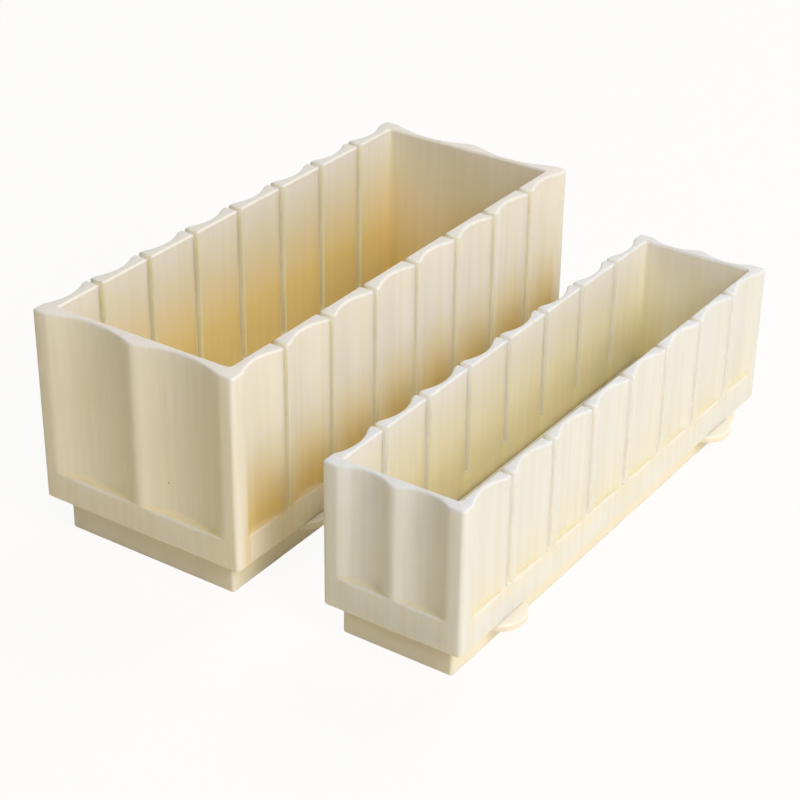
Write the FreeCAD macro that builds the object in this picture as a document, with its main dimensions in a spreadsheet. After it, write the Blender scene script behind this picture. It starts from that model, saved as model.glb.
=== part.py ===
import FreeCAD, Part
import math
import os
import Sketcher

# A pair of pressing moulds for boxed sushi, one wide and one narrow, standing side by side.
# Each mould is an open frame with knife slots, a base that carries the frame, and a press plate.
# Millimetres; +Z is up, the long sides run along Y, and the origin is on the table under the pair's centre.

doc = FreeCAD.newDocument("SushiMoulds")
sheet = doc.addObject("Spreadsheet::Sheet", "Dims")

# Driving dimensions that both moulds share.
SHARED = {
    "outer_length": 210,         # frame, over the end walls
    "corner_radius": 1.5,        # frame's upright outer corners
    "chamber_radius": 1.2,       # chamber's upright inner corners
    "slot_count": 7,
    "slot_width": 2.2,           # takes a knife blade
    "slot_land": 2.0,           # flat strip on each side of a slot
    "end_slice": 28.2,           # frame's outer end to the middle of the first slot
    "corner_margin": 5.7,        # flat strip of a long side next to each corner
    "end_margin": 6.2,           # flat strip of an end next to each corner
    "end_cusp": 2.7,             # flat ridge between the two flutes of an end
    "base_clearance": 0.3,       # chamber wall to base, all round
    "plate_clearance": 0.6,      # chamber wall to press plate, all round
    "spigot_height": 2.0,        # how far the base stands up inside the frame
    "shoulder": 1.8,             # how far the foot reaches under the frame's end walls
    "deck_thickness": 3.0,       # top of the base, under the rice
    "skirt_thickness": 3.0,      # upright walls of the base
    "base_corner_radius": 2.0,
    "hollow_corner_radius": 1.0,
    "rib_count": 5,              # stiffening ribs under the deck
    "rib_height": 3.0,
    "rib_thickness": 2.0,
    "tab_radius": 10.0,
    "tab_thickness": 2.6,
    "plate_thickness": 2.5,
    "plate_corner_radius": 1.5,
    "grip_length": 130.0,
    "grip_thickness": 8.0,
    "grip_height": 14.0,
    "grip_end_flat": 1.0,        # flat left between the grip's rounded corners
    "gap_between": 31.4,         # table between the two frames
    "stagger": 4.8,              # how far the narrow mould stands back
    "overcut": 1.0,              # how far a slot's cutter runs past the outer faces
}
# Driving dimensions of the wide mould and of the narrow one.
OWN = {
    "width": (85.8, 53.6),
    "frame_height": (73.8, 54.8),
    "seat_height": (13.2, 11.2),     # table to the frame's lower edge
    "band_height": (11.2, 12.2),     # plain band below the flutes
    "slot_foot": (11.0, 12.4),        # frame's lower edge to the slots' sill
    "side_wall": (6.2, 4.9),
    "end_wall": (6.6, 5.2),
    "flute_depth": (2.6, 2.6),
    "end_flute_depth": (4.0, 3.0),
    "tab_from_end": (45.5, 31.0),    # frame's outer end to the middle of the nearest tab
}
SIZES = ("large", "small")

# Where the lines of a sketch start before its dimensions move them.
START_X = 30
START_Y = 90
START_RADIUS = 1


def fill_sheet():
    """Write every driving dimension into a cell of its own and name the cell."""
    cells = dict(SHARED)
    for word, values in OWN.items():
        for size, value in zip(SIZES, values):
            cells[f"{size}_{word}"] = value
    for row, (alias, value) in enumerate(cells.items(), start=1):
        sheet.set(f"A{row}", alias)
        sheet.set(f"B{row}", str(value))
        sheet.setAlias(f"B{row}", alias)
    doc.recompute()


def cell(word, size=None):
    """Name of a dimension as an expression, a mould's own or a shared one."""
    return f"Dims.{size}_{word}" if word in OWN else f"Dims.{word}"


def slot_pitch():
    """Thickness of one slice of sushi."""
    return f"(({cell('outer_length')} - 2 * {cell('end_slice')}) / ({cell('slot_count')} - 1))"


def chamber_size(size, clearance="0"):
    """Width and length of the chamber, less a clearance all round."""
    across = f"({cell('width', size)} - 2 * {cell('side_wall', size)} - 2 * {clearance})"
    along = f"({cell('outer_length')} - 2 * {cell('end_wall', size)} - 2 * {clearance})"
    return across, along


def arc_radius(chord, depth):
    """Radius of the round flute that has this mouth and depth."""
    return f"((({chord})^2 / 4 + {depth}^2) / (2 * {depth}))"


def origin_feature(body, role):
    """One of the body's own origin planes or axes."""
    return next(item for item in body.Origin.OriginFeatures if item.Role == role)


def new_body(label):
    """An empty body whose label is the piece's name."""
    body = doc.addObject("PartDesign::Body", label.title().replace("_", ""))
    body.Label = label
    return body


def new_sketch(body, name, height=None):
    """A sketch on the body's XY plane, raised to the height that an expression gives."""
    sketch = body.newObject("Sketcher::SketchObject", f"{body.Name}{name}")
    sketch.AttachmentSupport = [(origin_feature(body, "XY_Plane"), "")]
    sketch.MapMode = "FlatFace"
    if height:
        sketch.setExpression("AttachmentOffset.Base.z", height)
    return sketch


def bind(sketch, kind, *where, to):
    """Add a dimension to a sketch and bind it to an expression."""
    index = sketch.addConstraint(Sketcher.Constraint(kind, *where, START_RADIUS))
    sketch.setExpression(f"Constraints[{index}]", to)


def add_line(sketch, start, end):
    return sketch.addGeometry(Part.LineSegment(start, end), False)


def rounded_rectangle(sketch, across, along, radius):
    """A rectangle centred on the sketch's origin, its four corners rounded."""
    quarter = math.pi / 2
    centres = [FreeCAD.Vector(x * START_X, y * START_Y, 0) for x, y in ((1, 1), (-1, 1), (-1, -1), (1, -1))]
    arcs = []
    lines = []
    for index, centre in enumerate(centres):
        circle = Part.Circle(centre, FreeCAD.Vector(0, 0, 1), START_RADIUS)
        arc = Part.ArcOfCircle(circle, index * quarter, (index + 1) * quarter)
        arcs.append(sketch.addGeometry(arc, False))
    for index, centre in enumerate(centres):
        following = (index + 1) % 4
        angle = following * quarter
        outward = FreeCAD.Vector(math.cos(angle), math.sin(angle), 0) * START_RADIUS
        lines.append(add_line(sketch, centre + outward, centres[following] + outward))
    for index in range(4):
        following = (index + 1) % 4
        direction = "Vertical" if index % 2 else "Horizontal"
        sketch.addConstraint(Sketcher.Constraint("Tangent", arcs[index], 2, lines[index], 1))
        sketch.addConstraint(Sketcher.Constraint("Tangent", lines[index], 2, arcs[following], 1))
        sketch.addConstraint(Sketcher.Constraint(direction, lines[index]))
    for arc in arcs[1:]:
        sketch.addConstraint(Sketcher.Constraint("Equal", arcs[0], arc))
    sketch.addConstraint(Sketcher.Constraint("Symmetric", lines[0], 1, lines[2], 1, -1, 1))
    bind(sketch, "Radius", arcs[0], to=radius)
    bind(sketch, "DistanceX", lines[1], 1, lines[3], 1, to=across)
    bind(sketch, "DistanceY", lines[2], 1, lines[0], 1, to=along)


def cross_rectangle(sketch, across, thickness, ahead):
    """A rectangle across the mould, its middle this far in front of the sketch's origin."""
    ends = [(-1, -1), (1, -1), (1, 1), (-1, 1)]
    points = [FreeCAD.Vector(x * START_X, y * START_RADIUS - START_Y, 0) for x, y in ends]
    lines = [add_line(sketch, points[index], points[(index + 1) % 4]) for index in range(4)]
    for index in range(4):
        following = lines[(index + 1) % 4]
        sketch.addConstraint(Sketcher.Constraint("Coincident", lines[index], 2, following, 1))
    for upright in (lines[1], lines[3]):
        sketch.addConstraint(Sketcher.Constraint("Vertical", upright))
    sketch.addConstraint(Sketcher.Constraint("Horizontal", lines[2]))
    sketch.addConstraint(Sketcher.Constraint("Symmetric", lines[0], 1, lines[0], 2, -2))
    bind(sketch, "DistanceX", lines[0], 1, lines[0], 2, to=across)
    bind(sketch, "DistanceY", lines[1], 1, lines[1], 2, to=thickness)
    bind(sketch, "DistanceY", lines[1], 2, -1, 1, to=f"{ahead} - {thickness} / 2")


def circle_at(sketch, x, y, radius, across, along):
    """A circle whose centre stands off both axes; x and y give the quarter it stands in."""
    start = Part.Circle(FreeCAD.Vector(x * START_X, y * START_Y, 0), FreeCAD.Vector(0, 0, 1), START_RADIUS)
    circle = sketch.addGeometry(start, False)
    origin = (-1, 1)
    centre = (circle, 3)
    bind(sketch, "Radius", circle, to=radius)
    bind(sketch, "DistanceX", *(origin + centre if x > 0 else centre + origin), to=across)
    bind(sketch, "DistanceY", *(origin + centre if y > 0 else centre + origin), to=along)


def pad(body, name, sketch, length):
    """Add material upwards from the sketch."""
    feature = body.newObject("PartDesign::Pad", f"{body.Name}{name}")
    feature.Profile = sketch
    feature.setExpression("Length", length)
    doc.recompute()
    return feature


def pocket(body, name, sketch, depth=None):
    """Cut upwards from the sketch, right through or to a depth, and prove that it cut something."""
    before = body.Shape.Volume
    feature = body.newObject("PartDesign::Pocket", f"{body.Name}{name}")
    feature.Profile = sketch
    feature.Reversed = True
    if depth:
        feature.setExpression("Length", depth)
    else:
        feature.Type = "ThroughAll"
    doc.recompute()
    if body.Shape.Volume >= before:
        raise RuntimeError(f"{feature.Name} cuts nothing")
    return feature


def repeat_along(body, name, original, count, span):
    """Repeat a feature along the long sides, from its own place towards the back."""
    feature = body.newObject("PartDesign::LinearPattern", f"{body.Name}{name}")
    feature.Originals = [original]
    feature.Direction = (origin_feature(body, "Y_Axis"), [""])
    feature.setExpression("Length", span)
    feature.setExpression("Occurrences", count)
    body.Tip = feature
    doc.recompute()


def place(body, size, height):
    """Stand a body in its mould's place, so that the origin is under the middle of the pair."""
    reach = {}
    for each in SIZES:
        across, _ = chamber_size(each, cell("base_clearance"))
        reach[each] = f"({across} / 2 + {cell('tab_radius')})"
    half_widths = f"({cell('width', 'large')} + {cell('width', 'small')}) / 2"
    spacing = f"({half_widths} + {cell('gap_between')})"
    centre = f"({reach['large']} - {reach['small']}) / 2"
    side = "-" if size == "large" else "+"
    body.setExpression("Placement.Base.x", f"{centre} {side} {spacing} / 2")
    body.setExpression("Placement.Base.y", f"0 {side} {cell('stagger')} / 2")
    body.setExpression("Placement.Base.z", height)
    doc.recompute()


def cut_flutes(body, size):
    """Round upright flutes outside, one between each two slots and two on each end."""
    width = cell("width", size)
    length = cell("outer_length")
    depth = cell("flute_depth", size)
    band = cell("band_height", size)
    half_slot = f"{cell('slot_width')} / 2 + {cell('slot_land')}"

    radius = arc_radius(f"{slot_pitch()} - 2 * ({half_slot})", depth)
    off_wall = f"{width} / 2 + {radius} - {depth}"
    first = f"({cell('slot_count')} - 2) / 2 * {slot_pitch()}"
    side_flutes = new_sketch(body, "SideFluteCircles", band)
    for x in (-1, 1):
        circle_at(side_flutes, x, -1, radius, off_wall, first)
    cut = pocket(body, "SideFlutes", side_flutes)
    repeat_along(body, "SideFluteRow", cut, f"{cell('slot_count')} - 1", f"2 * {first}")

    # The four flutes next to the corners take what the corner strips leave.
    inner_edge = f"(({cell('slot_count')} - 1) / 2 * {slot_pitch()} + {half_slot})"
    outer_edge = f"({length} / 2 - {cell('corner_margin')})"
    radius = arc_radius(f"{outer_edge} - {inner_edge}", depth)
    off_wall = f"{width} / 2 + {radius} - {depth}"
    corner_flutes = new_sketch(body, "CornerFluteCircles", band)
    for x in (-1, 1):
        for y in (-1, 1):
            circle_at(corner_flutes, x, y, radius, off_wall, f"({outer_edge} + {inner_edge}) / 2")
    pocket(body, "CornerFlutes", corner_flutes)

    # The circles of two neighbouring end flutes would cross, so each cut takes a diagonal pair.
    depth = cell("end_flute_depth", size)
    chord = f"({width} - 2 * {cell('end_margin')} - {cell('end_cusp')}) / 2"
    radius = arc_radius(chord, depth)
    off_end = f"{length} / 2 + {radius} - {depth}"
    off_middle = f"({chord} + {cell('end_cusp')}) / 2"
    for name, hand in (("EndFlutesOne", 1), ("EndFlutesTwo", -1)):
        end_flutes = new_sketch(body, f"{name}Circles", band)
        circle_at(end_flutes, hand, 1, radius, off_middle, off_end)
        circle_at(end_flutes, -hand, -1, radius, off_middle, off_end)
        pocket(body, name, end_flutes)


def make_frame(size):
    """Open frame: fluted outside, flat inside, slotted from the rim down to a plain band."""
    body = new_body(f"{size}_frame")
    width = cell("width", size)
    outline = new_sketch(body, "Outline")
    rounded_rectangle(outline, width, cell("outer_length"), cell("corner_radius"))
    pad(body, "Block", outline, cell("frame_height", size))
    chamber = new_sketch(body, "ChamberOutline")
    rounded_rectangle(chamber, *chamber_size(size), cell("chamber_radius"))
    pocket(body, "Chamber", chamber)
    cut_flutes(body, size)

    # Knife slots, each through both long sides at once.
    run = f"({cell('slot_count')} - 1) * {slot_pitch()}"
    slot = new_sketch(body, "SlotOutline", cell("slot_foot", size))
    cross_rectangle(slot, f"{width} + 2 * {cell('overcut')}", cell("slot_width"), f"{run} / 2")
    cut = pocket(body, "FirstSlot", slot)
    repeat_along(body, "Slots", cut, cell("slot_count"), run)
    place(body, size, cell("seat_height", size))


def make_base(size):
    """Hollow foot: a deck that stands up inside the frame, shoulders at the ends, tabs at the sides."""
    body = new_body(f"{size}_base")
    seat = cell("seat_height", size)
    top = f"{seat} + {cell('spigot_height')}"
    under_deck = f"{top} - {cell('deck_thickness')}"
    across, along = chamber_size(size, cell("base_clearance"))
    skirt = cell("skirt_thickness")

    foot_length = f"({along} + 2 * {cell('shoulder')})"
    outline = new_sketch(body, "Outline")
    rounded_rectangle(outline, across, foot_length, cell("base_corner_radius"))
    pad(body, "Block", outline, seat)
    spigot = new_sketch(body, "SpigotOutline", seat)
    rounded_rectangle(spigot, across, along, cell("base_corner_radius"))
    pad(body, "Spigot", spigot, cell("spigot_height"))

    tabs = new_sketch(body, "TabCircles", f"{seat} - {cell('tab_thickness')}")
    off_middle = f"{cell('outer_length')} / 2 - {cell('tab_from_end', size)}"
    for x in (-1, 1):
        for y in (-1, 1):
            circle_at(tabs, x, y, cell("tab_radius"), f"{across} / 2", off_middle)
    pad(body, "Tabs", tabs, cell("tab_thickness"))

    inner_length = f"({foot_length} - 2 * {skirt})"
    hollow = new_sketch(body, "HollowOutline")
    rounded_rectangle(hollow, f"{across} - 2 * {skirt}", inner_length, cell("hollow_corner_radius"))
    pocket(body, "Hollow", hollow, under_deck)

    # The ribs hang from the deck and run into the middle of the skirt on both sides.
    rib_pitch = f"{inner_length} / ({cell('rib_count')} + 1)"
    run = f"({cell('rib_count')} - 1) * {rib_pitch}"
    rib = new_sketch(body, "RibOutline", f"{under_deck} - {cell('rib_height')}")
    cross_rectangle(rib, f"{across} - {skirt}", cell("rib_thickness"), f"{run} / 2")
    first = pad(body, "FirstRib", rib, cell("rib_height"))
    repeat_along(body, "Ribs", first, cell("rib_count"), run)
    place(body, size, "0")


def make_press_plate(size):
    """Flat plate that presses the rice, with an upright grip along its middle."""
    body = new_body(f"{size}_press_plate")
    across, along = chamber_size(size, cell("plate_clearance"))
    outline = new_sketch(body, "Outline")
    rounded_rectangle(outline, across, along, cell("plate_corner_radius"))
    pad(body, "Plate", outline, cell("plate_thickness"))
    grip = new_sketch(body, "GripOutline", cell("plate_thickness"))
    grip_radius = f"({cell('grip_thickness')} - {cell('grip_end_flat')}) / 2"
    rounded_rectangle(grip, cell("grip_thickness"), cell("grip_length"), grip_radius)
    pad(body, "Grip", grip, cell("grip_height"))
    place(body, size, f"{cell('seat_height', size)} + {cell('spigot_height')}")


def export_all():
    """Check every object, then write one file for each piece."""
    doc.recompute()
    for item in doc.Objects:
        if "Invalid" in item.State or "Error" in item.State:
            raise RuntimeError(f"{item.Label} did not recompute: {item.State}")
    pieces = [item for item in doc.Objects if item.TypeId == "PartDesign::Body"]
    for piece in pieces:
        if piece.Shape.isNull() or not piece.Shape.isValid() or len(piece.Shape.Solids) != 1:
            raise RuntimeError(f"{piece.Label} is not one valid solid")
    os.makedirs("parts", exist_ok=True)
    for piece in pieces:
        piece.Shape.exportStep(f"parts/{piece.Label}.step")
        box = piece.Shape.BoundBox
        print(f"{piece.Label}: x {box.XMin:.2f} {box.XMax:.2f}, y {box.YMin:.2f} {box.YMax:.2f}, "
              f"z {box.ZMin:.2f} {box.ZMax:.2f}")


fill_sheet()
for mould in SIZES:
    make_base(mould)
    make_frame(mould)
    make_press_plate(mould)
export_all()
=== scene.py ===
import math

import bpy
from mathutils import Matrix, Vector


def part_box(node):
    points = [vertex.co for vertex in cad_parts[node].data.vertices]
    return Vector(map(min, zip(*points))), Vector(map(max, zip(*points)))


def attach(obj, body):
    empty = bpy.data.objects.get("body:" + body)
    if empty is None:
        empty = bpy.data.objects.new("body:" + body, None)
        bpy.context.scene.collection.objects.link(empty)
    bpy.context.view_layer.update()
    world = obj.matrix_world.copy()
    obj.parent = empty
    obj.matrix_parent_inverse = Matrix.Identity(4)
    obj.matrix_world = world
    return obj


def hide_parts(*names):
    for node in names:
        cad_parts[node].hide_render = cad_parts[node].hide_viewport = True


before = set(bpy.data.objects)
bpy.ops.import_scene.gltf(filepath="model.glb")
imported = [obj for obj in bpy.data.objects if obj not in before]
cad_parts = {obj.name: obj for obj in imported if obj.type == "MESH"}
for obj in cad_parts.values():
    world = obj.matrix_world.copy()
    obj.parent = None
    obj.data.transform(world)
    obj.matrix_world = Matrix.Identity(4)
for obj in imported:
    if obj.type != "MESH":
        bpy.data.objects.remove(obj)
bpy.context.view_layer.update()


# Camera. It stands in front of the moulds' near right corners and looks down along their long sides,
# with a long lens, turned slightly on its own axis.
MM = 0.001
LENS = 92.329
CAMERA_AT = Vector((361.33, -548.48, 399.32)) * MM
CAMERA_AZIMUTH, CAMERA_ELEVATION, CAMERA_ROLL = (math.radians(angle) for angle in (33.991, 29.310, 0.703))

camera = bpy.data.objects.new("camera", bpy.data.cameras.new("camera"))
camera.data.lens = LENS
camera.matrix_world = (Matrix.Translation(CAMERA_AT)
                       @ Matrix.Rotation(CAMERA_AZIMUTH, 4, "Z")
                       @ Matrix.Rotation(math.pi / 2 - CAMERA_ELEVATION, 4, "X")
                       @ Matrix.Rotation(CAMERA_ROLL, 4, "Z"))
bpy.context.scene.collection.objects.link(camera)
bpy.context.scene.camera = camera


# Frames. Each is one moulding of ivory plastic, open at top and bottom: flat inside, with shallow round
# flutes outside that end on a plain band, and knife slots through both long sides. All its edges are
# soft from the mould, and it stands loose on its base's tabs.
class Size:
    """A size inside a node tree. Arithmetic on it adds the math nodes that work out the result."""

    def __init__(self, tree, socket):
        self.tree = tree
        self.socket = socket

    def combine(self, operation, *others):
        node = add(self.tree, "ShaderNodeMath", dict(enumerate((self, *others))), operation=operation)
        return Size(self.tree, node.outputs[0])

    def __add__(self, other):
        return self.combine("ADD", other)

    def __sub__(self, other):
        return self.combine("SUBTRACT", other)

    def __mul__(self, other):
        return self.combine("MULTIPLY", other)

    def __truediv__(self, other):
        return self.combine("DIVIDE", other)

    def unsigned(self):
        return self.combine("ABSOLUTE")

    def whole(self):
        return self.combine("FLOOR")

    def at_most(self, other):
        return self.combine("MINIMUM", other)

    def at_least(self, other):
        return self.combine("MAXIMUM", other)

    def above(self, other):
        return self.combine("GREATER_THAN", other)

    def opposite(self):
        """What is left of 1: a test that held fails, and the other way round."""
        return self * -1.0 + 1.0


def feed(tree, node, inputs):
    """Feed a node's inputs. Each takes a value, another node's output, or a list of outputs."""
    for name, value in inputs.items():
        for source in value if isinstance(value, list) else [value]:
            source = source.socket if isinstance(source, Size) else source
            if isinstance(source, bpy.types.NodeSocket):
                tree.links.new(source, node.inputs[name])
            else:
                node.inputs[name].default_value = source


def add(tree, kind, inputs=None, **settings):
    """Add a node with its settings, and feed its inputs."""
    node = tree.nodes.new(kind)
    for name, value in settings.items():
        setattr(node, name, value)
    feed(tree, node, inputs or {})
    return node


def new_tree(name, *sizes, **others):
    """A node tree with its sizes and its other inputs, each under its name."""
    tree = bpy.data.node_groups.new(name, "GeometryNodeTree")
    for size in sizes:
        tree.interface.new_socket(size, in_out="INPUT", socket_type="NodeSocketFloat")
    for other, kind in others.items():
        tree.interface.new_socket(other, in_out="INPUT", socket_type=f"NodeSocket{kind}")
    tree.interface.new_socket("Geometry", in_out="OUTPUT", socket_type="NodeSocketGeometry")
    entry = tree.nodes.new("NodeGroupInput")
    given = {size: Size(tree, entry.outputs[size]) for size in sizes}
    given.update({other: entry.outputs[other] for other in others})
    return tree, given


def finish_tree(tree, geometry):
    add(tree, "NodeGroupOutput", {"Geometry": geometry})


def at(tree, x=0.0, y=0.0, z=0.0):
    """A point or a step, from its three sizes."""
    return add(tree, "ShaderNodeCombineXYZ", {"X": x, "Y": y, "Z": z}).outputs[0]


def move(tree, shape, x=0.0, y=0.0, z=0.0):
    """Shift a shape by a step."""
    step = at(tree, x, y, z)
    return add(tree, "GeometryNodeTransform", {"Geometry": shape, "Translation": step}).outputs[0]


def weld(tree, shape):
    """Merge the points that lie in the same place."""
    reach = 0.001 * MM
    return add(tree, "GeometryNodeMergeByDistance", {"Geometry": shape, "Distance": reach}).outputs[0]


def rounded_block_tree():
    """A block between two heights, centred in plan, with rounded upright corners."""
    corner_steps = 8
    tree, size = new_tree("rounded block", "Width", "Length", "Corner Radius", "Lower", "Upper")
    outline = add(tree, "GeometryNodeCurvePrimitiveQuadrilateral",
                  {"Width": size["Width"], "Height": size["Length"]}).outputs[0]
    rounded = add(tree, "GeometryNodeFilletCurve",
                  {"Curve": outline, "Count": corner_steps, "Radius": size["Corner Radius"]},
                  mode="POLY").outputs[0]
    floor = add(tree, "GeometryNodeFillCurve", {"Curve": rounded}, mode="NGONS").outputs[0]
    height = size["Upper"] - size["Lower"]
    raised = add(tree, "GeometryNodeExtrudeMesh",
                 {"Mesh": floor, "Offset": at(tree, z=1.0), "Offset Scale": height,
                  "Individual": False}).outputs[0]
    underside = add(tree, "GeometryNodeFlipFaces", {"Mesh": floor}).outputs[0]
    shell = add(tree, "GeometryNodeJoinGeometry", {"Geometry": [raised, underside]}).outputs[0]
    finish_tree(tree, move(tree, weld(tree, shell), z=size["Lower"]))
    return tree


ROUNDED_BLOCK = rounded_block_tree()


def block(tree, **values):
    """A rounded block. Its sizes are given under their names in small letters, such as corner_radius."""
    node = add(tree, "GeometryNodeGroup", node_tree=ROUNDED_BLOCK)
    feed(tree, node, {name.replace("_", " ").title(): value for name, value in values.items()})
    return node.outputs[0]


def bar(tree, width, length, lower, upper):
    """A straight-edged block between two heights, centred in plan."""
    height = upper - lower
    shape = add(tree, "GeometryNodeMeshCube", {"Size": at(tree, width, length, height)}).outputs["Mesh"]
    return move(tree, shape, z=height / 2 + lower)


def row(tree, shape, count, start, step):
    """Copies of a shape in a straight row."""
    line = add(tree, "GeometryNodeMeshLine", {"Count": count, "Start Location": start, "Offset": step})
    copies = add(tree, "GeometryNodeInstanceOnPoints", {"Points": line.outputs[0], "Instance": shape})
    return copies.outputs[0]


def cut(tree, solid, *tools):
    return add(tree, "GeometryNodeMeshBoolean", {"Mesh 1": solid, "Mesh 2": list(tools)},
               operation="DIFFERENCE", solver="MANIFOLD").outputs["Mesh"]


def join(tree, *parts):
    return add(tree, "GeometryNodeMeshBoolean", {"Mesh 2": list(parts)},
               operation="UNION", solver="MANIFOLD").outputs["Mesh"]


def arc_steps(count):
    """Sine and cosine at even steps along a quarter turn."""
    angles = [math.pi / 2 * step / (count - 1) for step in range(count)]
    return [(math.sin(angle), math.cos(angle)) for angle in angles]


def wall_section(size):
    """The wall's section as levels: from the outer lower edge up the outside, over the rim and down the
    inside. A level has its inset from the side and end faces, its corner radius, its height and how much
    of the flutes' depth it takes."""
    foot_round, inner_round, rim_round, ledge_round, ledge_fillet = (
        value * MM for value in (0.8, 0.6, 0.9, 1.2, 1.6))
    most_corner_loss = 0.8 * foot_round
    lip_share, fillet_share = 0.30, 0.40
    corner, chamber, height, band = (
        size[name] for name in ("Corner Radius", "Chamber Radius", "Height", "Band"))
    steps = arc_steps(count=5)
    levels = []

    def outside(inset, level, share):
        levels.append((inset, inset, corner - min(inset, most_corner_loss), level, share))

    def inside(outset, level):
        levels.append((size["Side Wall"] - outset, size["End Wall"] - outset, chamber + outset, level, 0.0))

    for sine, cosine in steps:
        outside(foot_round * (1 - sine), foot_round * (1 - cosine), 0.0)
    for sine, cosine in steps:
        outside(0.0, band - ledge_round * (1 - sine), lip_share * (1 - cosine))
    for sine, cosine in steps:
        outside(0.0, band + ledge_fillet * (1 - cosine), 1 - fillet_share * (1 - sine))
    for sine, cosine in steps:
        outside(rim_round * (1 - cosine), height - rim_round * (1 - sine), 1.0)
    for sine, cosine in steps:
        inside(inner_round * cosine, height - inner_round * (1 - cosine))
    for sine, cosine in steps:
        inside(inner_round * (1 - cosine), inner_round * (1 - sine))
    return levels


def fluted_skin(tree, size, pitch):
    """The frame before its slots are cut. Every column of points follows the wall's section, and the
    columns go once round the frame: along a face, round a corner, along the next face."""
    in_slice, in_corner = 28, 9
    side_softness, end_softness = 0.7 * MM, 1.2 * MM
    quarter_turn = math.pi / 2

    # Each point has a column and a level, and the last of both are the first ones again. A column has
    # its side of the frame and its place on that side, and every second side is an end.
    levels = wall_section(size)
    slices = Size(tree, size["Slots"]) + 1.0
    on_face = slices * in_slice
    per_side = on_face + in_corner
    columns = per_side * 4.0
    grid = add(tree, "GeometryNodeMeshGrid", {"Vertices X": columns + 1.0, "Vertices Y": len(levels) + 1})
    index = Size(tree, add(tree, "GeometryNodeInputIndex").outputs[0])
    column = ((index + 0.5) / (len(levels) + 1)).whole()
    level = index - column * (len(levels) + 1)
    level = level - level.above(len(levels) - 0.5) * len(levels)
    column = column - column.above(columns - 0.5) * columns
    side = ((column + 0.5) / per_side).whole()
    place = column - side * per_side
    at_end = side - (side / 2).whole() * 2.0

    def pick(values):
        """The value that belongs to the point's level."""
        node = tree.nodes.new("GeometryNodeIndexSwitch")
        node.data_type = "FLOAT"
        while len(node.index_switch_items) < len(values):
            node.index_switch_items.new()
        feed(tree, node, dict(enumerate((level, *values))))
        return Size(tree, node.outputs[0])

    def choose(test, if_true, if_false):
        """Blend by a test that is 0 or 1."""
        return (if_true - if_false) * test + if_false

    side_inset, end_inset, radius, height, share = (pick(values) for values in zip(*levels))
    half_width = size["Width"] / 2 - side_inset
    half_length = size["Length"] / 2 - end_inset
    outward = choose(at_end, half_length, half_width)
    along = choose(at_end, half_width, half_length)
    straight = along - radius

    # On a long side, the columns of a slice stand closer together towards its flute's edges, and none
    # stands where a slot comes. On an end, they are evenly spaced.
    half_gap = size["Slot Width"] / 2 + size["Slot Land"] / 2
    half_run = pitch / 2 - half_gap
    slice_number = ((place + 0.5) / in_slice).whole()
    step = (place - slice_number * in_slice) / ((in_slice - 1) / 2) - 1.0
    crowded = ((step * quarter_turn).combine("SINE") + step) / 2
    from_middle = crowded * half_run
    long_place = (slice_number - (slices - 1.0) / 2) * pitch + from_middle
    long_place = long_place.at_most(straight).at_least(straight * -1.0)
    end_place = ((place + 1.0) * 2.0 / (on_face + 1.0) - 1.0) * straight
    face_place = choose(at_end, end_place, long_place)

    def hollow(chord, depth, off_centre, softness):
        """How deep a round flute is at a distance from its middle, soft where it meets the face."""
        sweep = (chord * chord / 4 + depth * depth) / (depth * 2.0)
        under = (sweep * sweep - off_centre * off_centre).at_least(0.0).combine("SQRT")
        return (under - sweep + depth).combine("SMOOTH_MAX", 0.0, softness)

    # A long side has one flute in each slice, and an end has two with a cusp between them.
    side_chord = pitch - size["Slot Width"] - size["Slot Land"] * 2.0
    end_chord = (size["Width"] - size["End Margin"] * 2.0 - size["End Cusp"]) / 2
    from_end_flute = end_place.unsigned() - (end_chord + size["End Cusp"]) / 2
    side_hollow = hollow(side_chord, size["Flute Depth"], from_middle, side_softness)
    end_hollow = hollow(end_chord, size["End Flute Depth"], from_end_flute, end_softness)
    depth = choose(at_end, end_hollow, side_hollow) * share

    # The points are laid out on the right-hand side first, and then turned to their own side.
    in_arc = place.above(on_face - 0.5)
    turn = (place - on_face) * (quarter_turn / (in_corner - 1))
    arc_out = outward - radius + radius * turn.combine("COSINE")
    arc_along = straight + radius * turn.combine("SINE")
    spot = at(tree, choose(in_arc, arc_out, outward - depth), choose(in_arc, arc_along, face_place), height)
    turned = add(tree, "ShaderNodeVectorRotate", {"Vector": spot, "Angle": side * quarter_turn},
                 rotation_type="Z_AXIS").outputs[0]
    bent = add(tree, "GeometryNodeSetPosition",
               {"Geometry": grid.outputs["Mesh"], "Position": turned}).outputs[0]
    return weld(tree, bent)


def knife_slot(tree, size, top):
    """The cutter of one slot through one side wall, centred on the wall. It widens towards the wall's
    faces and the rim, which leaves rounded edges."""
    edge_round, overcut, cheek, proud = (value * MM for value in (0.4, 0.5, 4.0, 0.02))
    rod_sides = 32
    wall, slot, sill, height = (size[name] for name in ("Side Wall", "Slot Width", "Sill", "Height"))
    thickness = wall + 2 * overcut
    widest = slot + 2 * edge_round
    post = block(tree, width=wall + 2 * proud, length=cheek, corner_radius=edge_round,
                 lower=sill - overcut, upper=top + overcut)
    off_centre = slot / 2 + cheek / 2
    posts = [move(tree, post, y=off_centre * side) for side in (-1.0, 1.0)]
    slit = cut(tree, bar(tree, thickness, widest, sill, top), *posts)
    rod = add(tree, "GeometryNodeMeshCylinder",
              {"Vertices": rod_sides, "Radius": edge_round, "Depth": thickness + overcut}).outputs["Mesh"]
    lying = add(tree, "GeometryNodeTransform",
                {"Geometry": rod, "Rotation": (0, math.pi / 2, 0)}).outputs[0]
    rod_height = height - edge_round
    rods = [move(tree, lying, y=(slot / 2 + edge_round) * side, z=rod_height) for side in (-1.0, 1.0)]
    mouth = cut(tree, bar(tree, thickness, widest, rod_height, top), *rods)
    return join(tree, slit, mouth)


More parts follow.
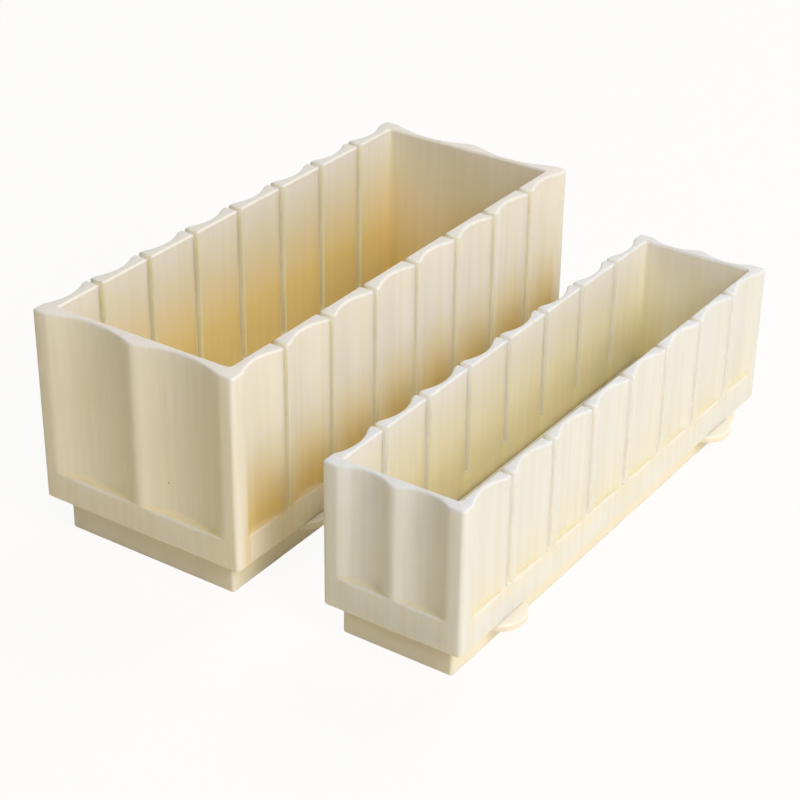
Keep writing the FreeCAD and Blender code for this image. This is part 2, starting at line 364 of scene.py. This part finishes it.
def store(tree, solid, name, value, data_type="FLOAT", domain="POINT"):
    """Keep a value on the solid's points, edges or faces, under a name."""
    return add(tree, "GeometryNodeStoreNamedAttribute", {"Geometry": solid, "Name": name, "Value": value},
               data_type=data_type, domain=domain).outputs[0]


def name_places(tree, size, solid, pitch):
    """Store where the frame's points and faces lie: on the ledge at a flute's foot or not, inside the
    chamber or not, how far below the rim, and in a knife slot or not. These set the painted shade in the
    plastic's colour.
    The end walls count as less far below the rim, and their outer faces not at all, so they get less painted
    shade."""
    slack, skin, ledge_reach, slot_margin = (value * MM for value in (0.1, 0.4, 1.6, 0.5))
    end_wall_share = 0.65
    position = add(tree, "GeometryNodeInputPosition").outputs[0]
    spot = add(tree, "ShaderNodeSeparateXYZ", {0: position}).outputs
    along, height = Size(tree, spot["Y"]), Size(tree, spot["Z"])
    off_middle, off_centre = Size(tree, spot["X"]).unsigned(), along.unsigned()
    half_width, half_length = size["Width"] / 2, size["Length"] / 2

    in_side_wall = off_middle.above(half_width - size["Side Wall"] + slack)
    in_end_wall = off_centre.above(half_length - size["End Wall"] + slack)
    in_wall = in_side_wall.at_least(in_end_wall)
    on_skin = off_middle.above(half_width - skin).at_least(off_centre.above(half_length - skin))
    # The ledge at a flute's foot takes a painted golden shade in the plastic's colour.
    near_band = ((height - size["Band"]).unsigned() / ledge_reach).opposite().at_least(0.0)
    solid = store(tree, solid, "ledge", near_band * in_wall * on_skin.opposite())
    solid = store(tree, solid, "inside", in_wall.opposite())

    # How far below the rim, which sets how deep the painted shade is.
    on_end_face = off_centre.above(half_length - size["End Flute Depth"])
    on_end_wall = off_centre.above(half_length - size["End Wall"] - slack)
    below_rim = (height / size["Height"]).opposite() * (on_end_wall * (end_wall_share - 1.0) + 1.0)
    solid = store(tree, solid, "below_rim", below_rim * on_end_face.opposite())

    slice_place = along / pitch + 0.5
    off_slot = (slice_place - slice_place.whole() - 0.5).unsigned() * pitch
    in_slot = off_slot.above(size["Slot Width"] / 2 + slot_margin).opposite()
    above_sill = height.above(size["Sill"] - slack)
    at_slots = off_centre.above(half_length - size["End Slice"] / 2).opposite()
    return store(tree, solid, "slot", in_slot * above_sill * at_slots, domain="FACE")


def settle(tree, solid, place, plastic):
    """Mark the crisp edges and the outward ones, which get a paler tone that is partly rubbing and partly a
    painted highlight, put the solid in its place and give it its plastic."""
    crisp_angle, most_rubbed_highlight_angle = math.radians(38), math.radians(30)
    angles = add(tree, "GeometryNodeInputMeshEdgeAngle")
    crisp = add(tree, "FunctionNodeCompare", {"A": angles.outputs["Unsigned Angle"], "B": crisp_angle},
                operation="GREATER_THAN").outputs[0]
    solid = store(tree, solid, "sharp_edge", crisp, "BOOLEAN", "EDGE")
    # Outward edges get a paler tone: partly rubbing, partly a painted highlight.
    outward = (Size(tree, angles.outputs["Signed Angle"]) / most_rubbed_highlight_angle).at_least(0.0).at_most(1.0)
    by_edge = add(tree, "GeometryNodeFieldOnDomain", {0: outward},
                  domain="EDGE", data_type="FLOAT").outputs[0]
    blurred = add(tree, "GeometryNodeBlurAttribute", {0: by_edge, "Iterations": 1},
                  data_type="FLOAT").outputs[0]
    solid = store(tree, solid, "edge_wear", blurred)
    smooth = add(tree, "GeometryNodeSetShadeSmooth", {"Geometry": solid, "Shade Smooth": True}).outputs[0]
    placed = add(tree, "GeometryNodeTransform", {"Geometry": smooth, "Translation": place}).outputs[0]
    plain = add(tree, "GeometryNodeRealizeInstances", {"Geometry": placed}).outputs[0]
    coated = add(tree, "GeometryNodeSetMaterial", {"Geometry": plain, "Material": plastic}).outputs[0]
    finish_tree(tree, coated)
    return tree


def fluted_frame_tree():
    """The frame, centred in plan and standing on its lower edge."""
    above_rim = 1 * MM
    tree, size = new_tree("fluted frame", "Width", "Length", "Height", "Corner Radius", "Chamber Radius",
                          "Side Wall", "End Wall", "Band", "Flute Depth", "End Flute Depth", "Slot Width",
                          "Slot Land", "End Slice", "End Margin", "End Cusp", "Sill",
                          Slots="Int", Place="Vector", Plastic="Material")
    slots = Size(tree, size["Slots"])
    pitch = (size["Length"] - size["End Slice"] * 2.0) / (slots - 1.0)
    skin = fluted_skin(tree, size, pitch)
    cutter = knife_slot(tree, size, size["Height"] + above_rim)
    wall_middle = size["Width"] / 2 - size["Side Wall"] / 2
    first_slot = pitch * (slots - 1.0) / -2
    cutters = [row(tree, cutter, slots, at(tree, wall_middle * side, first_slot), at(tree, y=pitch))
               for side in (-1.0, 1.0)]
    solid = name_places(tree, size, cut(tree, skin, *cutters), pitch)
    return settle(tree, solid, size["Place"], size["Plastic"])


FLUTED_FRAME = fluted_frame_tree()


def build(name, tree, values, rounding=0.0):
    """Run a tree on an empty mesh, round the edges that it names, and keep the result as a plain mesh."""
    piece = bpy.data.objects.new(name, bpy.data.meshes.new(name))
    bpy.context.scene.collection.objects.link(piece)
    nodes = piece.modifiers.new("shape", "NODES")
    nodes.node_group = tree
    for socket in tree.interface.items_tree:
        if socket.in_out == "INPUT":
            nodes[socket.identifier] = values[socket.name]
    if rounding:
        bevel = piece.modifiers.new("rounding", "BEVEL")
        bevel.limit_method = "WEIGHT"
        bevel.width = rounding
        bevel.segments = 4
        bevel.use_clamp_overlap = False
    shading = piece.modifiers.new("shading", "WEIGHTED_NORMAL")
    shading.keep_sharp = True
    evaluated = piece.evaluated_get(bpy.context.evaluated_depsgraph_get())
    mesh = bpy.data.meshes.new_from_object(evaluated)
    mesh.materials.clear()
    mesh.materials.append(values["Plastic"])
    mesh.polygons.foreach_set("material_index", [0] * len(mesh.polygons))
    piece.modifiers.clear()
    piece.data = mesh
    return piece


def marked(tree, attribute):
    """What the piece's tree stored under a name, and 0 where it stored nothing."""
    return Size(tree, add(tree, "ShaderNodeAttribute", attribute_name=attribute).outputs["Fac"])


def spread(tree, value, low, high, to_low=0.0, to_high=1.0):
    """Stretch a value from one range to another, and stop at its ends."""
    return Size(tree, add(tree, "ShaderNodeMapRange", {"Value": value, "From Min": low, "From Max": high,
                                                       "To Min": to_low, "To Max": to_high}).outputs[0])


def tint(tree, share, first, second, blend_type="MIX"):
    """Blend two colours. Each is three numbers or another node's output."""
    first, second = ((*tone, 1) if isinstance(tone, tuple) else tone for tone in (first, second))
    return add(tree, "ShaderNodeMix", {0: share, 6: first, 7: second},
               data_type="RGBA", blend_type=blend_type).outputs[2]


def tone_by_place(tree, outside, inside):
    """The plastic's colour by place, before its marks, with painted shade in it. Each side goes from its
    colour at the rim to a deeper golden one below, a painted shade for the light that bounces inside the
    chamber and between the moulds; the outside keeps most of it above its plain band, and the ledges at the
    flutes' feet get a painted golden shade."""
    outside_deepens, band_begins, inside_deepens = (0.38, 0.78), (0.82, 0.87), (0.05, 0.58)
    band_shade_share = 0.12
    ledge_painted_shade = (1.0, 0.935, 0.73)
    # Painted shade: the colour deepens to gold further below the rim, and the outside's plain band keeps
    # only a little of it.
    below = marked(tree, "below_rim")
    above_band = spread(tree, below, *band_begins, 1.0, band_shade_share)
    outside_tone = tint(tree, spread(tree, below, *outside_deepens) * above_band, *outside)
    inside_tone = tint(tree, spread(tree, below, *inside_deepens), *inside)
    tone = tint(tree, marked(tree, "inside"), outside_tone, inside_tone)
    # Painted shade: a golden tint on the ledge at each flute's foot, where the crease lies in shade.
    return tint(tree, marked(tree, "ledge"), tone, ledge_painted_shade, "MULTIPLY")


def speckled(tree, place, tone):
    """Add a few dark specks, each in the middle of a cell that chance has chosen."""
    cell_scale, speck_edge, least_chance = 95.0, (0.03, 0.05), 0.965
    speck_share, speck_tone = 0.7, (0.16, 0.11, 0.06)
    cells = add(tree, "ShaderNodeTexVoronoi", {"Vector": place, "Scale": cell_scale}).outputs
    speck = spread(tree, cells["Distance"], *speck_edge, 1.0, 0.0)
    chance = Size(tree, add(tree, "ShaderNodeSeparateColor", {0: cells["Color"]}).outputs[0])
    return tint(tree, speck * chance.above(least_chance) * speck_share, tone, speck_tone)


def moulded_plastic(name, outside, inside, painted_slot_glow, roughness, light_reach):
    """A slightly translucent moulded plastic: cloudy tone, faint upright flow lines, fine grain, paler edges
    that are partly rubbing and partly a painted highlight, and a few dark specks. Outside and inside each
    have a colour at the rim and a deeper one below, which is painted shade.
    The knife slots get a painted golden glow, an outer and an inner colour, for the light that comes through
    the plastic there."""
    plastic = bpy.data.materials.new(name)
    plastic.use_nodes = True
    tree = plastic.node_tree
    place = add(tree, "ShaderNodeTexCoord").outputs["Object"]

    def noise(scale, detail, upright_stretch=1.0):
        squeezed = add(tree, "ShaderNodeMapping",
                       {"Vector": place, "Scale": (1, 1, 1 / upright_stretch)}).outputs[0]
        return Size(tree, add(tree, "ShaderNodeTexNoise",
                              {"Vector": squeezed, "Scale": scale, "Detail": detail}).outputs["Fac"])

    cloud = noise(scale=22, detail=3)
    flow = noise(scale=420, detail=2, upright_stretch=40)
    grain = noise(scale=3200, detail=2)
    rub_and_highlight, slot = marked(tree, "edge_wear"), marked(tree, "slot")

    # The colour, from its place on the piece to the marks that lie on top.
    tone = tone_by_place(tree, outside, inside)
    shades = (
        (cloud, (0.35, 0.7), 0.6, (0.985, 0.955, 0.87)),
        (flow, (0.4, 0.62), 1.0, (0.975, 0.955, 0.90)),
        (grain, (0.5, 0.75), 1.0, (0.985, 0.98, 0.96)),
    )
    for pattern, (begins, full), most, shade in shades:
        tone = tint(tree, spread(tree, pattern, begins, full, 0.0, most), tone, shade, "MULTIPLY")
    # Paler, greyer outward edges: partly rubbing, partly a painted highlight on rims and edges.
    rubbed_highlight_begins, full_rubbed_highlight, most_rubbed_highlight, rubbed_highlight_tone = 0.05, 0.8, 0.75, (0.80, 0.78, 0.71)
    rubbed_highlight = spread(tree, rub_and_highlight, rubbed_highlight_begins, full_rubbed_highlight, 0.0, most_rubbed_highlight) * slot.opposite()
    tone = tint(tree, rubbed_highlight, tone, rubbed_highlight_tone)
    # Painted glow: the knife slots take a golden colour that stands in for the light coming through the
    # plastic there.
    slot_glow_share = 0.75
    tone = tint(tree, slot * slot_glow_share, tone, tint(tree, marked(tree, "inside"), *painted_slot_glow))
    tone = speckled(tree, place, tone)

    # The gloss, the relief and the light that passes through, which is most of all in the slots.
    clear, cloudy, shinier, duller, worn_duller = 0.3, 0.7, 0.04, 0.05, 0.06
    dullness = spread(tree, cloud, clear, cloudy, roughness - shinier, roughness + duller)
    grain_share, relief_strength, relief_depth = 0.35, 0.35, 0.05 * MM
    relief = grain * grain_share + flow * (1 - grain_share)
    bump = add(tree, "ShaderNodeBump",
               {"Height": relief, "Strength": relief_strength, "Distance": relief_depth})
    usual_light, slot_light = 0.3, 1.0
    feed(tree, tree.nodes["Principled BSDF"], {
        "Base Color": tone,
        "Roughness": dullness + rub_and_highlight * worn_duller,
        "Normal": bump.outputs[0],
        "Subsurface Weight": slot * (slot_light - usual_light) + usual_light,
        "Subsurface Radius": (1.0, 0.88, 0.7),
        "Subsurface Scale": light_reach,
    })
    return plastic


# The second colour of each outside and inside pair is painted shade, deepest in the large frame. The small
# frame's inside is painted much lighter than its outside, painted light in its chamber. The slot colours are
# a painted glow.
frame_plastics = {
    "large": moulded_plastic("warm ivory plastic", roughness=0.47, light_reach=20 * MM,
                             outside=((0.915, 0.85, 0.68), (0.86, 0.635, 0.25)),
                             inside=((0.925, 0.86, 0.66), (0.87, 0.59, 0.07)),
                             painted_slot_glow=((1.0, 0.84, 0.52), (1.0, 0.82, 0.47))),
    "small": moulded_plastic("pale ivory plastic", roughness=0.45, light_reach=20 * MM,
                             outside=((0.815, 0.82, 0.75), (0.84, 0.81, 0.67)),
                             inside=((1.0, 0.95, 0.78), (1.0, 0.87, 0.46)),
                             painted_slot_glow=((1.0, 0.93, 0.73), (1.0, 0.87, 0.46))),
}


def box_sizes(low, high):
    """A box's width, length and height, and the middle of its floor."""
    return {"Width": high.x - low.x, "Length": high.y - low.y, "Height": high.z - low.z,
            "Place": ((low.x + high.x) / 2, (low.y + high.y) / 2, low.z)}


FRAME_SIZES = {
    "Corner Radius": 1.5, "Chamber Radius": 1.2, "Slot Width": 2.2, "Slot Land": 2.0, "End Slice": 28.2,
    "End Margin": 6.2, "End Cusp": 2.7, "Flute Depth": 2.6,
}
OWN_SIZES = {
    "large": {"Side Wall": 6.2, "End Wall": 6.6, "Band": 11.2, "Sill": 11.0, "End Flute Depth": 4.0},
    "small": {"Side Wall": 4.9, "End Wall": 5.2, "Band": 12.2, "Sill": 12.4, "End Flute Depth": 3.0},
}
for mould, own in OWN_SIZES.items():
    low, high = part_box(f"{mould}_frame")
    values = {name: value * MM for name, value in {**FRAME_SIZES, **own}.items()}
    values.update(box_sizes(low, high), Slots=7, Plastic=frame_plastics[mould])
    piece = build(f"{mould}_fluted_frame", FLUTED_FRAME, values)
    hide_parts(f"{mould}_frame")
    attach(piece, f"{mould}_frame")


# Bases. Each is one moulding of the same plastic: a flat deck whose top stands up inside the frame,
# a skirt round it that reaches a little under the frame's ends, ribs below, and four half-round tabs
# on which the frame's lower edge rests.
def ease_edges(tree, solid, usual, *levels):
    """Say how far each outward edge is rounded, as a share of the bevel's width. The usual share holds,
    except for edges that lie at one of the given heights, which take that height's own."""
    least_angle = math.radians(15)
    slack = 0.02 * MM
    ends = add(tree, "GeometryNodeInputMeshEdgeVertices")
    heights = [add(tree, "ShaderNodeSeparateXYZ", {0: ends.outputs[f"Position {end}"]}).outputs["Z"]
               for end in (1, 2)]
    angle = add(tree, "GeometryNodeInputMeshEdgeAngle").outputs["Signed Angle"]

    def choose(test, if_true, if_false):
        return add(tree, "GeometryNodeSwitch", {"Switch": test, "False": if_false, "True": if_true},
                   input_type="FLOAT").outputs[0]

    def compare(operation, first, second, **more):
        return add(tree, "FunctionNodeCompare", {"A": first, "B": second, **more},
                   operation=operation).outputs[0]

    share = usual
    for level, own_share in levels:
        at_level = [compare("EQUAL", height, level, Epsilon=slack) for height in heights]
        both = add(tree, "FunctionNodeBooleanMath", dict(enumerate(at_level)), operation="AND").outputs[0]
        share = choose(both, own_share, share)
    share = choose(compare("GREATER_THAN", angle, least_angle), share, 0.0)
    return store(tree, solid, "bevel_weight_edge", share, domain="EDGE")


def tabbed_base_tree():
    """The base, centred in plan and standing on its skirt."""
    tab_sides, overlap = 96, 0.5 * MM
    usual_share, rib_share = 1.0, 0.6
    tree, size = new_tree("tabbed base", "Width", "Length", "Height", "Corner Radius",
                          "Hollow Corner Radius", "Spigot", "Shoulder", "Deck", "Skirt", "Rib Height",
                          "Rib Thickness", "Tab Radius", "Tab Thickness", "Tab Reach",
                          Ribs="Int", Place="Vector", Plastic="Material")
    width, length, top, skirt = (size[name] for name in ("Width", "Length", "Height", "Skirt"))
    corner, tab_thickness, tab_reach = (
        size[name] for name in ("Corner Radius", "Tab Thickness", "Tab Reach"))
    under_deck = top - size["Deck"]
    under_ribs = under_deck - size["Rib Height"]
    inner_length = length - skirt * 2
    seat = top - size["Spigot"]

    foot = block(tree, width=width, length=length, corner_radius=corner, lower=0.0, upper=seat)
    spigot = block(tree, width=width, length=length - size["Shoulder"] * 2, corner_radius=corner,
                   lower=seat - overlap, upper=top)
    tab = add(tree, "GeometryNodeMeshCylinder",
              {"Vertices": tab_sides, "Radius": size["Tab Radius"], "Depth": tab_thickness}).outputs["Mesh"]
    tab = move(tree, tab, z=seat - tab_thickness / 2)
    tabs = [row(tree, tab, 2, at(tree, width / 2 * side, tab_reach * -1), at(tree, y=tab_reach * 2))
            for side in (-1, 1)]
    hollow = block(tree, width=width - skirt * 2, length=inner_length,
                   corner_radius=size["Hollow Corner Radius"], lower=overlap * -1, upper=under_deck)
    shell = cut(tree, join(tree, foot, spigot, *tabs), hollow)

    ribs = Size(tree, size["Ribs"])
    pitch = inner_length / (ribs + 1)
    rib = bar(tree, width - skirt, size["Rib Thickness"], under_ribs, under_deck + overlap)
    rib_row = row(tree, rib, ribs, at(tree, y=pitch * (ribs - 1) / -2), at(tree, y=pitch))
    eased = ease_edges(tree, join(tree, shell, rib_row), usual_share, (under_ribs, rib_share))
    return settle(tree, eased, size["Place"], size["Plastic"])


TABBED_BASE = tabbed_base_tree()
deep_ivory = ((0.93, 0.83, 0.53), (0.93, 0.83, 0.53))
base_plastic = moulded_plastic("deep ivory plastic", roughness=0.42, light_reach=3 * MM,
                               outside=deep_ivory, inside=deep_ivory, painted_slot_glow=deep_ivory)
BASE_SIZES = {
    "Corner Radius": 1.2, "Hollow Corner Radius": 1.0, "Spigot": 2.0, "Shoulder": 1.8, "Deck": 3.0,
    "Skirt": 3.0, "Rib Height": 3.0, "Rib Thickness": 2.0, "Tab Radius": 10.0, "Tab Thickness": 2.6,
}
TAB_REACH = {"large": 59.5, "small": 74.0}
for mould, reach in TAB_REACH.items():
    low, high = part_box(f"{mould}_base")
    values = {name: value * MM for name, value in {**BASE_SIZES, "Tab Reach": reach}.items()}
    values.update(box_sizes(low, high), Ribs=5, Plastic=base_plastic)
    values["Width"] -= 2 * values["Tab Radius"]
    piece = build(f"{mould}_tabbed_base", TABBED_BASE, values, rounding=0.5 * MM)
    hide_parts(f"{mould}_base")
    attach(piece, f"{mould}_base")


# Press plates. Each is one moulding of the same plastic: a flat plate that fits the chamber loosely,
# with an upright grip along its middle. It lies on the base's deck and is pushed down on the rice by hand.
def press_plate_tree():
    """The press plate, centred in plan and lying on its lower face."""
    overlap = 0.5 * MM
    usual_share, grip_share = 0.35, 1.0
    tree, size = new_tree("press plate", "Width", "Length", "Height", "Corner Radius", "Thickness",
                          "Grip Length", "Grip Thickness", "Grip Radius", Place="Vector", Plastic="Material")
    thickness, height = size["Thickness"], size["Height"]
    plate = block(tree, width=size["Width"], length=size["Length"], corner_radius=size["Corner Radius"],
                  lower=0.0, upper=thickness)
    grip = block(tree, width=size["Grip Thickness"], length=size["Grip Length"],
                 corner_radius=size["Grip Radius"], lower=thickness - overlap, upper=height)
    eased = ease_edges(tree, join(tree, plate, grip), usual_share, (height, grip_share))
    return settle(tree, eased, size["Place"], size["Plastic"])


PRESS_PLATE = press_plate_tree()
golden_ivory = ((0.95, 0.85, 0.52), (0.95, 0.85, 0.52))
plate_plastic = moulded_plastic("golden ivory plastic", roughness=0.44, light_reach=3 * MM,
                                outside=golden_ivory, inside=golden_ivory, painted_slot_glow=golden_ivory)
PLATE_SIZES = {
    "Corner Radius": 1.5, "Thickness": 2.5, "Grip Length": 130, "Grip Thickness": 8, "Grip Radius": 3.5,
}
for mould in ("large", "small"):
    low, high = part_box(f"{mould}_press_plate")
    values = {name: value * MM for name, value in PLATE_SIZES.items()}
    values.update(box_sizes(low, high), Plastic=plate_plastic)
    piece = build(f"{mould}_gripped_plate", PRESS_PLATE, values, rounding=1.6 * MM)
    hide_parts(f"{mould}_press_plate")
    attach(piece, f"{mould}_press_plate")


# Studio. A white floor and surround, and four broad round lamps: two on the right, a weak one in front
# and one behind. The surround itself gives only a little light.
def behind_object(tree):
    """1 for what looks at the surround: the camera's own rays and the ones that gloss or glass sends."""
    rays = add(tree, "ShaderNodeLightPath").outputs
    looking = Size(tree, rays["Is Camera Ray"]).at_least(Size(tree, rays["Is Glossy Ray"]))
    return looking.at_least(Size(tree, rays["Is Transmission Ray"]))


def either(tree, share, first, second):
    """Blend two shaders."""
    return add(tree, "ShaderNodeMixShader", {0: share, 1: first.outputs[0], 2: second.outputs[0]}).outputs[0]


FLOOR_HALF = 4.0
FLOOR_TONE = (0.95, 0.82, 0.5, 1)
FLOOR_GLOW_SHARE = 0.93
floor = bpy.data.objects.new("floor", bpy.data.meshes.new("floor"))
corners = [(x * FLOOR_HALF, y * FLOOR_HALF, 0) for x, y in ((-1, -1), (1, -1), (1, 1), (-1, 1))]
floor.data.from_pydata(corners, [], [(0, 1, 2, 3)])
bpy.context.scene.collection.objects.link(floor)

paper = bpy.data.materials.new("white paper")
paper.use_nodes = True
floor.data.materials.append(paper)
tree = paper.node_tree
tree.nodes.clear()
matt = add(tree, "ShaderNodeBsdfDiffuse", {"Color": FLOOR_TONE})
glow = add(tree, "ShaderNodeEmission", {"Strength": 1.0})
surface = either(tree, behind_object(tree) * FLOOR_GLOW_SHARE, matt, glow)
add(tree, "ShaderNodeOutputMaterial", {"Surface": surface})

SURROUND_LIGHT = 0.05
world = bpy.data.worlds.new("surround")
bpy.context.scene.world = world
world.use_nodes = True
tree = world.node_tree
tree.nodes.clear()
light = add(tree, "ShaderNodeBackground", {"Color": (1, 1, 1, 1), "Strength": SURROUND_LIGHT})
white = add(tree, "ShaderNodeBackground", {"Color": (1, 1, 1, 1), "Strength": 1.0})
add(tree, "ShaderNodeOutputWorld", {"Surface": either(tree, behind_object(tree), light, white)})

LAMP_AIM = Vector((0, 0, 40)) * MM
LAMP_WIDTH = 1.6
DAYLIGHT = (0.985, 0.985, 1.09)
LAMPS = {
    "right lamp": ((2.21, -0.63, 1.97), 57),
    "low right lamp": ((2.90, -0.41, 0.66), 18),
    "front lamp": ((0.25, -2.10, 2.16), 8),
    "back lamp": ((0.0, 1.93, 2.3), 37),
}
for name, (spot, power) in LAMPS.items():
    lamp = bpy.data.objects.new(name, bpy.data.lights.new(name, "AREA"))
    lamp.data.shape = "DISK"
    lamp.data.size = LAMP_WIDTH
    lamp.data.energy = power
    lamp.data.color = DAYLIGHT
    lamp.location = spot
    lamp.rotation_mode = "QUATERNION"
    lamp.rotation_quaternion = (LAMP_AIM - Vector(spot)).to_track_quat("-Z", "Y")
    bpy.context.scene.collection.objects.link(lamp)

bpy.context.scene.view_settings.view_transform = "Standard"
